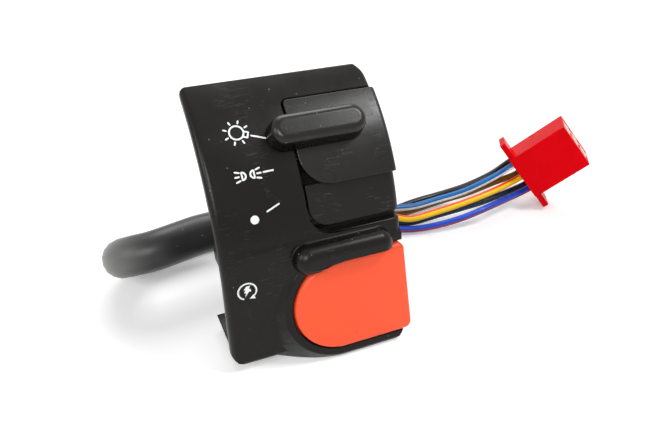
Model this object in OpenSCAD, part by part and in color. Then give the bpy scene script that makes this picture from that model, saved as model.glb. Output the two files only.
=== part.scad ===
// Handlebar switch cluster: the front half of a right-hand bar switch housing,
// with a three-position light slider, a start button and its wire loom.
// Millimetres. X runs along the handlebar, Y away from the rider's side, Z up.
// The origin is on the handlebar's axis, in the plane where the rear half would meet.

/* [Housing] */
// Width of the housing along the handlebar
shell_width = 42; // [41:0.5:44]
// Radius of the rounded front face
face_radius = 44; // [43.5:0.5:45]
// Wall thickness of the housing
wall = 2.4; // [2:0.1:2.8]
// Handlebar diameter that the saddle takes
bar_diameter = 22.2; // [21.8:0.1:22.4]
// Distance between the two housing screws
screw_spacing = 42; // [41:0.5:43]

/* [Light slider] */
// Turn of the slider from headlight to off, in degrees
slider_turn = 12.4; // [8:0.2:12.8]
// Length of the slider's finger bar
knob_length = 22; // [18:0.2:24]
// Height of the slider's finger bar
knob_height = 4.6; // [3:0.2:5.4]

/* [Start button] */
// Radius of the button's round end
button_radius = 11.7; // [10.5:0.1:12]
// Stroke of the button
button_stroke = 2.5; // [1.5:0.1:2.6]
// Length of the guard rib above the button
rib_length = 24; // [20:0.5:25]

/* [Loom] */
// Outer diameter of the black sleeve
sleeve_diameter = 10.5; // [9:0.5:10.5]
// Outer diameter of each wire
wire_diameter = 2.1; // [1.8:0.1:2.2]

/* [Hidden] */
$fn = 64;
overlap = 0.2;
housing_depth = 24.5;
front_y = -housing_depth;
face_axis_y = face_radius - housing_depth;
face_axis_z = -9;
right_x = shell_width / 2;
left_x = -shell_width / 2;
bottom_z = -29;
bottom_round = 1.7;
straight_drop = face_axis_z - bottom_z - bottom_round;
top_angle = acos(face_axis_y / face_radius);
top_z = face_axis_z + face_radius * sin(top_angle);
// Whole degrees a little past the parting plane, where the outline cuts the skin
skin_end = ceil(top_angle + 2);
left_round = 1.5;
right_round = 1.6;
bar_radius = bar_diameter / 2;
// Gap under the bar at the left end, where the loom passes
loom_gap_front = -12;
loom_gap_back = -6.6;
loom_gap_top = -14.5;

// Saddle ribs, screw bosses and their brass inserts
rib_wall = 2.4;
rib_inset = 3.2;
saddle_half = right_x - rib_inset;
boss_x = -9.5;
boss_radius = 3.6;
insert_radius = 2.6;
insert_bore = 1.65;
insert_length = 7;

// Light switch window, slider plate and the bed under it, on the round face
window_top = round(2 * top_angle) / 2 - 9;
window_bottom = 14.3;
window_left = right_x - 21.8;
window_round_top = 1.4;
window_round_bottom = 5.5;
plate_top = window_top - 0.4;
plate_bottom = window_bottom + 1.3 + slider_turn;
plate_left = right_x - 21.45;
plate_right = right_x + 0.7;
plate_edge = 1.4;
plate_corner = 7;
plate_proud = 0.2;
plate_thick = 1.6;
slide_gap = 0.3;
bed_top_radius = face_radius + plate_proud - plate_thick - slide_gap;
bed_flange_radius = face_radius - wall - slide_gap;
flange_thick = 1.9;
flange_inner = bed_flange_radius - flange_thick;
bed_left = window_left + 0.9;
bed_right = right_x + 0.9;
bed_edge = 2;
bed_bottom = window_bottom + 1.4;
flange_reach = 3;
slot_left = window_left - 0.6;
slot_right = window_left + 8;
slot_top = window_top - 1.2;
slot_bottom = slot_top - slider_turn - 12;
leg_left = window_left + 2.4;
leg_right = slot_right - 0.4;
leg_top = slot_top - 0.5;
leg_bottom = slot_bottom + slider_turn + 0.5;
knob_x = right_x - 16.2;
knob_angle = window_top - 10.75;
knob_lift = 0.4;
knob_half = 3.6;
knob_top_half = 3.3;
knob_edge = 1.9;

// Carrier, contacts and detent, in radii from the face's axis
carrier_outer = flange_inner - 0.4;
carrier_inner = carrier_outer - 2.4;
carrier_left = window_left - 0.8;
carrier_right = window_left + 10.2;
carrier_top = leg_top + 2.6;
carrier_bottom = leg_bottom - 4;
bridge_thick = 0.5;
bridge_gap = 0.35;
board_outer = carrier_inner - bridge_thick - bridge_gap - 0.5;
board_thick = 1.4;
board_left = carrier_left - 2.8;
board_right = saddle_half - rib_wall - 1;
board_bottom = window_bottom + 0.5;
board_top = carrier_top - 1.6;
cheek_gap = 0.5;
contact_radius = 1;
contact_rise = 0.5;
contact_x = window_left + 3.4;
contact_step = 2.7;
tail_radius = 0.6;
tail_length = 2;
detent_ball_radius = 1.2;
detent_radius = (carrier_outer + carrier_inner) / 2;
detent_angle = carrier_bottom + 2.4;
detent_wire = 0.3;
detent_x = carrier_right + 1;
groove_half = 0.95;
groove_depth = 0.6;
leg_middle_x = (leg_left + leg_right) / 2;
carrier_screw_angle = leg_top - 3.4;
bridge_angle = carrier_bottom + 5;
small_screw_radius = 1;
small_head_radius = 1.9;
board_screw_radius = 0.8;
board_head_radius = 1.5;
board_screw_spots = [
    [(board_left + carrier_left - cheek_gap) / 2, tail_angle(0) - 6],
    [(carrier_right + cheek_gap + board_right) / 2, 18]
];
bed_ear_x = board_left - 3.4;
bed_ear_angles = [14.5, 36];
bed_ear_thick = 1.6;
bed_post_radius = 2.6;
bed_post_length = 3.4;
function contact_spot(i) = contact_x + (i - 1) * contact_step;
function tail_angle(i) = board_top - 1.6 - 4.2 * (3 - i);
// How far a flat screw head stands off a hollow seat
function seat_drop(head, radius) = radius - sqrt(radius * radius - head * head) + 0.01;
function face_point(x, angle, radius) =
    [x, face_axis_y - radius * cos(angle), face_axis_z + radius * sin(angle)];

// Start button, in its own frame: local Z points out of the button
button_tilt = 9.5;
button_x = 5.5;
button_y = front_y - 2;
button_z = -15.6;
// Right end of the cap, which leans outward to its lower corner
cap_right_top = right_x - button_x - 0.1;
cap_right_low = right_x - button_x + 1.6;
button_gap = 0.35;
button_proud = 1;
rim_width = 2.2;
collar_corner = 4;
lip_thick = 2.2;
flange_step = 1.2;
cap_bottom = -lip_thick - 0.3 - 1.5;
base_front = cap_bottom - 4;
base_thick = 2.2;
plunger_radius = 2.9;
plunger_fit = 0.06;
guide_radius = 5;
guide_length = 5;
spring_wire = 0.6;
spring_radius = 4;
spring_pocket = 5;
spring_turns = 5;
start_contact_x = 8.4;
base_post_spots = [[-16.4, 2.8], [-14.2, 8.2]];
base_post_radius = 2.3;
base_right = saddle_half - rib_wall - button_x - 0.3;
base_left = button_x - boss_x - boss_radius - 0.4;
base_half = 6;
base_arm_left = base_post_spots[0][0] - base_post_radius - 0.1;
base_arm_height = 10.2;
base_back = base_front - base_thick;
prop_drop = 1.5;
spring_seat = button_proud - 1.8;
start_head = cap_bottom - bridge_thick - button_stroke - 0.3 - base_front;
start_tail = base_back - tail_length;
function button_point(x, y, z) = [
    button_x + x,
    button_y + y * sin(button_tilt) - z * cos(button_tilt),
    button_z + y * cos(button_tilt) + z * sin(button_tilt)
];

// Guard rib between the window and the button
guard_x = right_x - 14.9;
guard_angle = 8.4;
guard_height = 3.9;
guard_half = 3.7;
guard_top_half = 3.4;
guard_edge = 2.8;
guard_sink = 0.5;

// Mouth of the loom sleeve, and the leads inside the housing
mouth = [0.5, -5, -18.6];
boot_left = boss_x + boss_radius + 0.4;
boot_length = 2.6;
lead_radius = board_outer - board_thick - 1.4;
bundle_diameter = 4.4;
bundle_x = rib_wall - saddle_half + bundle_diameter / 2 + 0.4;
bundle_y = -bar_radius - bundle_diameter / 2 - 0.3;
bundle_angle = (tail_angle(0) + tail_angle(3)) / 2 - 3;
bundle_route = [
    face_point(boot_left, bundle_angle, lead_radius),
    face_point(boot_left - 1.6, bundle_angle, lead_radius),
    [bundle_x + 0.4, -5, 13.6],
    [bundle_x, -9.8, 10],
    [bundle_x, bundle_y, 3.5],
    [bundle_x, bundle_y, -3.5],
    [bundle_x + 0.4, -10.2, -9.8],
    [-9.4, -8.8, -12.8],
    [-4, -8.6, -15.2],
    [-1.2, -7, -17.9],
    [-1.2, mouth[1], -17.9]
];
start_lead_left = [
    button_point(-start_contact_x, 0, start_tail),
    button_point(-start_contact_x, 0, start_tail - 1.6),
    [-1.4, -10, -20.6],
    [0.8, -7, -21.4],
    [0.8, mouth[1], -21.4]
];
start_lead_right = [
    button_point(start_contact_x, 0, start_tail),
    button_point(start_contact_x, 0, start_tail - 1.6),
    [12.4, -7.4, -18.6],
    [6, -6.4, -19.4],
    [2.9, -6.2, -19.4],
    [2.9, mouth[1], -19.4]
];

// Loom clip, sleeve and wires; the table that the photo shows is at table_z
table_z = -30.5;
clip_y = -2.9;
clip_length = 3.8;
clip_wall = 1;
clip_reach = sleeve_diameter / 2 + clip_wall + 2.8;
clip_foot_top = bottom_z + wall + clip_wall;
sleeve_rest_z = table_z + 5.3;
sleeve_route = [
    mouth,
    [0.5, -0.5, -18.6],
    [-1.2, 5, -18.2],
    [-6, 10.4, -16.8],
    [-12, 12.4, -15],
    [-18, 12, -14.4],
    [-25, 10.8, -14.6],
    [-31, 10, -15],
    [-36, 11.6, -16.2],
    [-38.6, 15.4, -18.8],
    [-38, 20, -22],
    [-35, 23.4, -24.2],
    [-30, 25.6, sleeve_rest_z],
    [-22, 27.6, sleeve_rest_z],
    [-10, 29, sleeve_rest_z],
    [4, 27, sleeve_rest_z],
    [16, 20.6, sleeve_rest_z],
    [24, 18, sleeve_rest_z],
    [32, 18, sleeve_rest_z]
];
black_route = [
    [32, 21.4, -26.4], [34.5, 21.4, -26.4], [40, 21.6, -28.2], [52.2, 24, -29.2],
    [62.8, 24.4, -28.8], [71, 22.2, -25.8], [78.4, 19.8, -21.2]
];
blue_white_route = [
    [32, 20.2, -24.1], [34.5, 20.2, -24.1], [40, 20.2, -25.4], [49.4, 19.2, -26.8],
    [58.2, 18.8, -26.2], [67.4, 17.2, -24], [76, 16.6, -20.8]
];
brown_route = [
    [32, 19, -26.4], [34.5, 19, -26.4], [40, 19, -28.4], [49.6, 19.2, -29.2],
    [60.4, 19.8, -29], [70.6, 19.6, -27], [78.8, 18.6, -23.8]
];
yellow_red_route = [
    [32, 15.8, -24.1], [34.5, 15.8, -24.1], [40, 14.8, -25.3], [45.6, 12.4, -26.8],
    [54.2, 11.8, -26.8], [64, 11.6, -25.6], [73, 11.8, -23.2]
];
navy_route = [
    [32, 16.7, -26.5], [34.5, 16.7, -26.5], [40, 15.8, -28.2], [46.6, 13.6, -29.4],
    [55, 12.8, -29.2], [63.4, 11.8, -28], [74, 12.2, -26]
];
blue_red_route = [
    [32, 14.4, -26.4], [34.5, 14.4, -26.4], [40, 12.8, -28.4], [46, 10.8, -29.4],
    [53.6, 8.8, -29.2], [61.8, 7.6, -28], [71.2, 8.4, -26]
];
connector_pos = [88.1, 15.2, -19.7];
connector_turn = [-11, -40, -26];
connector_width = 15;
connector_thick = 11.6;
connector_length = 18;
ear_span = 25.4;
ear_thick = 1.8;
ear_width = 8;
cell_pitch_z = 4.7;
cell_pitch_y = 5.2;
cell_size = 3.6;
cell_floor = 3;

black_plastic = [0.09, 0.09, 0.09];
white_plastic = [0.85, 0.84, 0.8];
dark_board = [0.1, 0.08, 0.07];
orange_plastic = [0.95, 0.28, 0.1];
red_plastic = [0.9, 0.06, 0.05];
brass_metal = [0.78, 0.6, 0.25];
steel_metal = [0.6, 0.6, 0.62];

// Placing helpers

// Puts children on the round face: local X along the bar, local Y up the face, local Z outward.
module on_face(x, angle, radius) {
    translate([x, face_axis_y, face_axis_z])
        rotate([90 - angle, 0, 0])
            translate([0, 0, radius])
                children();
}

// Sweeps a flat profile, drawn as radius by X, about an axis along the bar.
module sweep_about(y, z, from, to) {
    translate([0, y, z])
        rotate([0, 90, 0])
            rotate([0, 0, 270 - to])
                rotate_extrude(angle = to - from, $fn = 96)
                    children();
}

// A curved block on the face: X range, radius range and angle range.
module face_block(x0, x1, r0, r1, from, to) {
    sweep_about(face_axis_y, face_axis_z, from, to)
        translate([r0, x0])
            square([r1 - r0, x1 - x0]);
}

// A curved plate with a rounded right edge.
module face_plate(x0, x1, r0, r1, from, to, edge) {
    sweep_about(face_axis_y, face_axis_z, from, to)
        translate([r1, 0])
            difference() {
                translate([r0 - r1, x0])
                    square([r1 - r0, x1 - x0]);
                profile_corner(x1, edge, -1);
            }
}

// Section across the housing, from its inner side at 0 to its outer side, with rounded outer corners.
module edged_profile(depth) {
    difference() {
        translate([0, left_x])
            square([depth, shell_width]);
        translate([depth, 0])
            profile_corner(left_x, left_round, 1);
        translate([depth, 0])
            profile_corner(right_x, right_round, -1);
    }
}

// What a rounded corner takes off the wall section.
module profile_corner(x, size, side) {
    difference() {
        translate([-size, side > 0 ? x - 1 : x - size])
            square(size + 1);
        translate([-size, x + side * size])
            circle(r = size);
    }
}

// Rounds one corner of a curved opening or plate: the corner square less its quarter disc.
module face_corner(x, angle, size, side_x, side_y, radius, depth) {
    on_face(x, angle, radius - depth)
        difference() {
            translate([side_x > 0 ? -0.1 : -size, side_y > 0 ? -0.1 : -size, 0])
                cube([size + 0.1, size + 0.1, depth]);
            translate([side_x * size, side_y * size, -1])
                cylinder(r = size, h = depth + 2);
        }
}

// Finger bar: a straight drafted bar with round ends, from a half section drawn as radius by height.
module finger_bar(length, half_width, top_half, height, edge) {
    rotate([90, 0, 90])
        translate([0, 0, -(length / 2 - half_width)])
            linear_extrude(length - 2 * half_width)
                union() {
                    bar_half(half_width, top_half, height, edge);
                    mirror([1, 0, 0])
                        bar_half(half_width, top_half, height, edge);
                }
    for (side = [-1, 1])
        translate([side * (length / 2 - half_width), 0, 0])
            rotate_extrude()
                bar_half(half_width, top_half, height, edge);
}

module bar_half(half_width, top_half, height, edge) {
    polygon([[0, 0], [half_width, 0], [top_half, height - edge], [0, height - edge]]);
    translate([0, height - edge - overlap])
        square([top_half - edge, edge + overlap]);
    intersection() {
        translate([top_half - edge, height - edge])
            circle(r = edge);
        square([half_width * 2, height]);
    }
}

// Button frame: local X along the bar, local Y up, local Z outward.
module at_button() {
    translate([button_x, button_y, button_z])
        rotate([90 - button_tilt, 0, 0])
            children();
}

// Round-ended outline of the button, grown by a margin, open to the right.
module button_outline(grow) {
    circle(r = button_radius + grow);
    translate([0, -button_radius - grow])
        square([cap_right_low + 4, 2 * (button_radius + grow)]);
}

// Swept tubes: one ring on each point of a route
function unit(v) = v / norm(v);
function tangent(route, i) =
    i == 0 ? unit(route[1] - route[0]) :
    i == len(route) - 1 ? unit(route[i] - route[i - 1]) :
    unit(unit(route[i] - route[i - 1]) + unit(route[i + 1] - route[i]));
function side_of(t) = unit(cross(t, abs(t[2]) > 0.95 ? [0, 1, 0] : [0, 0, 1]));
function ring_at(p, t, r, sides) = [
    for (k = [0 : sides - 1])
        p + r * (cos(360 * k / sides) * side_of(t) + sin(360 * k / sides) * cross(side_of(t), t))
];

module tube(route, diameter, sides) {
    rings = [for (i = [0 : len(route) - 1]) ring_at(route[i], tangent(route, i), diameter / 2, sides)];
    points = [for (ring = rings) for (p = ring) p];
    last = (len(route) - 1) * sides;
    polyhedron(
        points = points,
        faces = concat(
            [[for (k = [0 : sides - 1]) k]],
            [for (i = [0 : len(route) - 2]) for (k = [0 : sides - 1])
                [i * sides + k, (i + 1) * sides + k,
                 (i + 1) * sides + (k + 1) % sides, i * sides + (k + 1) % sides]],
            [[for (k = [sides - 1 : -1 : 0]) last + k]]
        )
    );
}

// Coil spring along local Z, one unbroken tube
module coil(radius, wire, height, turns) {
    steps = turns * 8;
    rise = height - wire;
    echo(spring_gap = rise / turns - wire);
    tube(
        [for (i = [0 : steps])
            [radius * cos(45 * i), radius * sin(45 * i), wire / 2 + rise * i / steps]],
        wire, 6
    );
}

// Pan-head screw along local Z, head at the top
module pan_screw(radius, head, length) {
    cylinder(r = head, h = radius * 1.1);
    translate([0, 0, -length])
        cylinder(r = radius, h = length);
}

// Housing

// Solid behind the outer skin: round face, straight lower front and rounded bottom edge.
module outer_block() {
    depth = -front_y;
    sweep_about(face_axis_y, face_axis_z, 0, skin_end)
        translate([face_radius - depth, 0])
            edged_profile(depth);
    translate([0, front_y + depth, face_axis_z - straight_drop])
        rotate([0, 0, -90])
            linear_extrude(straight_drop)
                edged_profile(depth);
    sweep_about(front_y + bottom_round, bottom_z + bottom_round, -90, 0)
        edged_profile(bottom_round);
    translate([0, 0, bottom_z + bottom_round])
        rotate([90, 90, 0])
            linear_extrude(depth - bottom_round)
                edged_profile(bottom_round);
}

// Space inside the walls over part of the housing's width.
module cavity(x0, x1) {
    translate([x0, 0, 0])
        rotate([90, 0, 90])
            linear_extrude(x1 - x0)
                union() {
                    intersection() {
                        translate([face_axis_y, face_axis_z])
                            circle(r = face_radius - wall, $fn = 96);
                        translate([front_y, face_axis_z])
                            square([1 - front_y, 80]);
                    }
                    translate([front_y + wall, bottom_z + wall])
                        square([1 - front_y - wall, face_axis_z - bottom_z - wall + 1]);
                }
}

// Main cavity between the two ribs, round the screw bosses.
module main_cavity() {
    difference() {
        cavity(rib_wall - saddle_half, saddle_half - rib_wall);
        for (side = [-1, 1])
            translate([boss_x, 0, side * screw_spacing / 2])
                rotate([90, 0, 0])
                    cylinder(r = boss_radius, h = -front_y);
    }
}

// Raised collar round the button: a 45 degree cone and its straight run to the right.
module button_collar() {
    rim = button_radius + rim_width;
    depth = 9;
    intersection() {
        at_button() {
            translate([0, 0, -depth])
                cylinder(r1 = rim + depth, r2 = rim, h = depth, $fn = 96);
            rotate([90, 0, 90])
                linear_extrude(right_x - button_x)
                    polygon([[-rim - depth, -depth], [rim + depth, -depth], [rim, 0], [-rim, 0]]);
        }
        translate([0, front_y + wall, 0])
            rotate([90, 0, 0])
                linear_extrude(12 + wall)
                    difference() {
                        translate([left_x, table_z])
                            square([shell_width, 40]);
                        outline_corner(right_x, table_z, collar_corner, -1, 1);
                    }
    }
}

module front_shell() {
    color(black_plastic)
        difference() {
            union() {
                difference() {
                    intersection() {
                        outer_block();
                        front_outline();
                    }
                    cavity(left_x - 1, -saddle_half);
                    main_cavity();
                    cavity(saddle_half, right_x + 1);
                    loom_gap();
                    face_block(saddle_half - rib_wall - 1, saddle_half + 0.5, flange_inner - 0.4,
                        face_radius - wall - slide_gap / 2, window_bottom - 7, skin_end);
                    translate([left_x - 1, 0, 0])
                        rotate([0, 90, 0])
                            cylinder(r = bar_radius, h = shell_width + 2, $fn = 96);
                }
                button_collar();
                on_face(guard_x, guard_angle, face_radius - guard_sink)
                    finger_bar(rib_length, guard_half, guard_top_half, guard_height + guard_sink, guard_edge);
                bed_posts();
                base_posts();
            }
            window_cut();
            button_cut();
            for (side = [-1, 1])
                translate([boss_x, 0.5, side * screw_spacing / 2])
                    rotate([90, 0, 0])
                        cylinder(r = insert_radius, h = insert_length + 0.5);
            bed_post_holes();
            base_post_holes();
            clip_hole();
        }
}

// Front view outline with its own corner radii, as a bar that ends at the parting plane.
module front_outline() {
    rotate([90, 0, 0])
        linear_extrude(60)
            difference() {
                translate([left_x, bottom_z])
                    square([shell_width, 80]);
                outline_corner(left_x, bottom_z, 5, 1, 1);
                outline_corner(right_x, bottom_z, 3.2, -1, 1);
                outline_corner(right_x, top_z + 0.4, 4.2, -1, -1);
                outline_corner(left_x, top_z + 0.4, 1.6, 1, -1);
            }
}
module outline_corner(x, z, size, side_x, side_z) {
    translate([x, z])
        difference() {
            translate([side_x > 0 ? -1 : -size, side_z > 0 ? -1 : -size])
                square(size + 1);
            translate([side_x * size, side_z * size])
                circle(r = size);
        }
}

// Gap for the loom in the left rib, below the bar, and a shorter one in the bottom's left end.
module loom_gap() {
    gap_right = rib_wall - saddle_half + overlap;
    translate([left_x - 1, loom_gap_front, bottom_z + wall])
        cube([gap_right - left_x + 1, 1 - loom_gap_front, loom_gap_top - bottom_z - wall]);
    translate([left_x - 1, loom_gap_back, bottom_z - 1])
        cube([gap_right - left_x + 1, 1 - loom_gap_back, loom_gap_top - bottom_z + 1]);
}

// Window in the face, open to the right, with two rounded left corners.
module window_cut() {
    outer = face_radius + 8;
    difference() {
        face_block(window_left, right_x + 1, flange_inner - 0.5, face_radius + 1, window_bottom, window_top);
        face_corner(window_left, window_top, window_round_top, 1, -1, outer, 20);
        face_corner(window_left, window_bottom, window_round_bottom, 1, 1, outer, 20);
    }
}

// Button pocket: close round the cap at the lip, wider behind it, open to the right.
module button_cut() {
    pocket_bottom = cap_bottom - button_stroke - 1;
    at_button() {
        translate([0, 0, pocket_bottom])
            linear_extrude(10 - pocket_bottom)
                button_outline(button_gap);
        translate([0, 0, pocket_bottom])
            linear_extrude(-lip_thick - pocket_bottom)
                button_outline(flange_step + button_gap);
    }
}

// Posts under the slide bed's ears, and their screw holes
module bed_posts() {
    for (angle = bed_ear_angles)
        on_face(bed_ear_x, angle, face_radius - wall - bed_post_length)
            cylinder(r = bed_post_radius, h = bed_post_length + wall / 2);
}
module bed_post_holes() {
    for (angle = bed_ear_angles)
        on_face(bed_ear_x, angle, face_radius - wall - bed_post_length - 0.1)
            cylinder(r = small_screw_radius, h = bed_post_length + 0.6);
}

// Posts for the start base beside the button pocket, their screw holes and the prop behind it
module base_posts() {
    prop = button_point(guide_radius + 0.4, -prop_drop, base_back);
    intersection() {
        at_button()
            for (post = base_post_spots)
                translate([post[0], post[1], base_front])
                    cylinder(r = base_post_radius, h = 20);
        translate([left_x, front_y + wall / 2, bottom_z + wall / 2])
            cube([shell_width, 30, 60]);
    }
    translate([prop[0], prop[1] + 0.05, bottom_z + wall / 2])
        cube([2, 2.4, prop[2] - bottom_z - wall / 2]);
}
module base_post_holes() {
    at_button()
        for (post = base_post_spots)
            translate([post[0], post[1], base_front - 0.1])
                cylinder(r = small_screw_radius, h = 5);
}

// Screw hole of the loom clip in the bottom wall
module clip_hole() {
    translate([mouth[0] + clip_reach, clip_y, bottom_z + 0.4])
        cylinder(r = small_screw_radius, h = wall);
}

module brass_inserts() {
    color(brass_metal)
        for (side = [-1, 1])
            translate([boss_x, 0, side * screw_spacing / 2])
                rotate([90, 0, 0])
                    difference() {
                        cylinder(r = insert_radius, h = insert_length - 0.2);
                        translate([0, 0, -1])
                            cylinder(r = insert_bore, h = insert_length + 1);
                    }
}

// Light switch

// Bed under the slider: the floor seen in the window, a flange behind the face, two cheeks and two ears.
module slide_bed() {
    ear_outer = face_radius - wall - bed_post_length;
    color(black_plastic)
        difference() {
            union() {
                difference() {
                    face_plate(bed_left, bed_right, flange_inner + 0.5, bed_top_radius,
                        bed_bottom, plate_top, bed_edge);
                    face_corner(bed_left, bed_bottom, window_round_bottom - 0.9, 1, 1,
                        face_radius + 1, 8);
                }
                face_block(window_left - flange_reach, right_x - 0.1, flange_inner,
                    bed_flange_radius, window_bottom - 1.6, window_top + 3.4);
                face_block(board_left, carrier_left - cheek_gap, board_outer,
                    flange_inner + overlap, bed_ear_angles[0] - 4, board_top);
                face_block(carrier_right + cheek_gap, board_right, board_outer,
                    flange_inner + overlap, board_bottom, board_top);
                for (angle = bed_ear_angles)
                    face_block(bed_ear_x - bed_post_radius, board_left + 1, ear_outer - bed_ear_thick,
                        ear_outer, angle - 4, angle + 4);
            }
            face_block(slot_left, slot_right, board_outer, face_radius + 1, slot_bottom, slot_top);
            for (angle = bed_ear_angles)
                on_face(bed_ear_x, angle, ear_outer - 3)
                    cylinder(r = small_screw_radius + 0.15, h = 5);
            for (spot = board_screw_spots)
                on_face(spot[0], spot[1], board_outer - 0.1)
                    cylinder(r = board_screw_radius, h = 3.4);
            on_face(carrier_right, detent_angle, detent_radius)
                rotate([0, 90, 0])
                    cylinder(r = detent_ball_radius + 0.1, h = board_right - carrier_right - 0.6);
        }
}

module bed_screws() {
    ear_inner = face_radius - wall - bed_post_length - bed_ear_thick;
    color(steel_metal)
        for (angle = bed_ear_angles)
            on_face(bed_ear_x, angle, ear_inner - seat_drop(small_head_radius, ear_inner))
                rotate([180, 0, 0])
                    pan_screw(small_screw_radius, small_head_radius, 5);
}

// Moulded board that carries the fixed contacts.
module contact_board() {
    color(dark_board)
        difference() {
            face_block(board_left, board_right, board_outer - board_thick, board_outer,
                board_bottom, board_top);
            for (i = [0 : 3])
                on_face(contact_spot(i), tail_angle(i), board_outer - board_thick - 1)
                    cylinder(r = tail_radius + 0.05, h = board_thick + 2);
            for (spot = board_screw_spots)
                on_face(spot[0], spot[1], board_outer - board_thick - 1)
                    cylinder(r = board_screw_radius + 0.1, h = board_thick + 2);
        }
}

module board_screws() {
    board_inner = board_outer - board_thick;
    color(steel_metal)
        for (spot = board_screw_spots)
            on_face(spot[0], spot[1], board_inner - seat_drop(board_head_radius, board_inner))
                rotate([180, 0, 0])
                    pan_screw(board_screw_radius, board_head_radius, 4);
}

// Four contact strips on the board, each with a solder tail behind it.
// The first two are the feeds, then the parking lamps and the headlight.
module fixed_contacts() {
    strip_low = bridge_angle - slider_turn / 2;
    lows = [strip_low, strip_low, strip_low, bridge_angle - 2];
    color(brass_metal)
        for (i = [0 : 3]) {
            face_block(contact_spot(i) - contact_radius, contact_spot(i) + contact_radius,
                board_outer, board_outer + contact_rise, lows[i], tail_angle(i) + 1.4);
            on_face(contact_spot(i), tail_angle(i), board_outer - board_thick - tail_length)
                cylinder(r = tail_radius, h = board_thick + tail_length + contact_rise / 2);
        }
}

module detent_spring() {
    color(steel_metal)
        on_face(detent_x + detent_ball_radius + 0.05, detent_angle, detent_radius)
            rotate([0, 90, 0])
                coil(0.8, detent_wire, 2.1, 2.5);
}

module detent_ball() {
    color(steel_metal)
        on_face(detent_x, detent_angle, detent_radius)
            sphere(r = detent_ball_radius);
}

// Sliding cover: curved plate with the finger bar on it and a leg through the bed's slot.
module light_slider() {
    plate_outer = face_radius + plate_proud;
    color(black_plastic) {
        difference() {
            face_plate(plate_left, plate_right, plate_outer - plate_thick, plate_outer,
                plate_bottom, plate_top, plate_edge);
            face_corner(plate_left, plate_bottom, plate_corner, 1, 1, plate_outer + 2, 8);
            face_corner(plate_left, plate_top, 1, 1, -1, plate_outer + 2, 8);
        }
        on_face(knob_x, knob_angle, face_radius + knob_lift)
            finger_bar(knob_length, knob_half, knob_top_half, knob_height, knob_edge);
        face_block(plate_left + 0.6, knob_x + knob_length / 2 - 3, plate_outer - plate_thick,
            face_radius + knob_lift + 0.6, knob_angle - 4, knob_angle + 4);
        difference() {
            face_block(leg_left, leg_right, carrier_outer, plate_outer - plate_thick + overlap,
                leg_bottom, leg_top);
            on_face(leg_middle_x, carrier_screw_angle, carrier_outer - 1)
                cylinder(r = small_screw_radius, h = 3.8);
        }
    }
}

// Carrier behind the bed, screwed to the slider's leg, with the detent groove in its right side.
module contact_carrier() {
    color(white_plastic)
        difference() {
            face_block(carrier_left, carrier_right, carrier_inner, carrier_outer,
                carrier_bottom, carrier_top);
            on_face(leg_middle_x, carrier_screw_angle, carrier_inner - 1)
                cylinder(r = small_head_radius + 0.3, h = 2.3);
            on_face(leg_middle_x, carrier_screw_angle, carrier_inner - 1)
                cylinder(r = small_screw_radius + 0.1, h = 6);
            on_face(leg_middle_x, bridge_angle, carrier_inner - 1)
                cylinder(r = 1.8, h = 2.9);
            face_block(carrier_right - groove_depth, carrier_right + 1, detent_radius - groove_half,
                detent_radius + groove_half, carrier_bottom - 1, carrier_top + 1);
            for (i = [0 : 2])
                on_face(carrier_right - groove_depth - 0.5, detent_angle + i * slider_turn / 2, detent_radius)
                    rotate([0, 90, 0])
                        cylinder(r = groove_half - 0.25, h = 1);
        }
}

module contact_bridge() {
    color(brass_metal)
        face_block(contact_spot(0) - contact_radius, contact_spot(3) + contact_radius,
            carrier_inner - bridge_thick, carrier_inner, bridge_angle - 2.8, bridge_angle + 2.8);
}

module bridge_spring() {
    color(steel_metal)
        on_face(leg_middle_x, bridge_angle, carrier_inner + 0.02)
            coil(1.1, 0.3, 1.8, 2);
}

module carrier_screw() {
    color(steel_metal)
        on_face(leg_middle_x, carrier_screw_angle, carrier_inner + 1.3)
            rotate([180, 0, 0])
                pan_screw(small_screw_radius, small_head_radius, 3.6);
}

// Start switch

// Cap with a rounded rim, a retaining flange behind the lip and a pocket for the spring.
module start_button() {
    edge = 1.2;
    color(orange_plastic)
        at_button()
            difference() {
                union() {
                    translate([0, 0, cap_bottom])
                        linear_extrude(1.5)
                            button_outline(flange_step);
                    translate([0, 0, cap_bottom])
                        linear_extrude(button_proud - edge - cap_bottom)
                            button_outline(0);
                    button_crown(edge);
                }
                translate([0, 0, cap_bottom - 1])
                    cylinder(r = spring_pocket, h = spring_seat - cap_bottom + 1);
                cap_end_cut();
            }
}

// Rounded top edge of the cap, as a stack of one turned end and one straight run.
module button_crown(edge) {
    translate([0, 0, button_proud - edge])
        rotate_extrude($fn = 96)
            crown_half(edge);
    translate([0, 0, button_proud - edge])
        rotate([90, 0, 90])
            linear_extrude(cap_right_low + 1)
                union() {
                    crown_half(edge);
                    mirror([1, 0, 0])
                        crown_half(edge);
                }
}
module crown_half(edge) {
    square([button_radius - edge, edge]);
    intersection() {
        translate([button_radius - edge, 0])
            circle(r = edge);
        square([button_radius, edge]);
    }
}

// What lies beyond the cap's leaning right end.
module cap_end_cut() {
    reach = button_radius + 5;
    middle = (cap_right_low + cap_right_top) / 2;
    lean = (cap_right_low - cap_right_top) / 2 * reach / button_radius;
    translate([0, 0, cap_bottom - 1])
        linear_extrude(button_proud - cap_bottom + 2)
            polygon([
                [middle + lean, -reach], [middle + lean + 10, -reach],
                [middle + lean + 10, reach], [middle - lean, reach]
            ]);
}

module button_plunger() {
    color(white_plastic)
        at_button()
            translate([0, 0, base_back - guide_length - 1])
                cylinder(r = plunger_radius, h = spring_seat - base_back + guide_length + 1);
}

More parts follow.
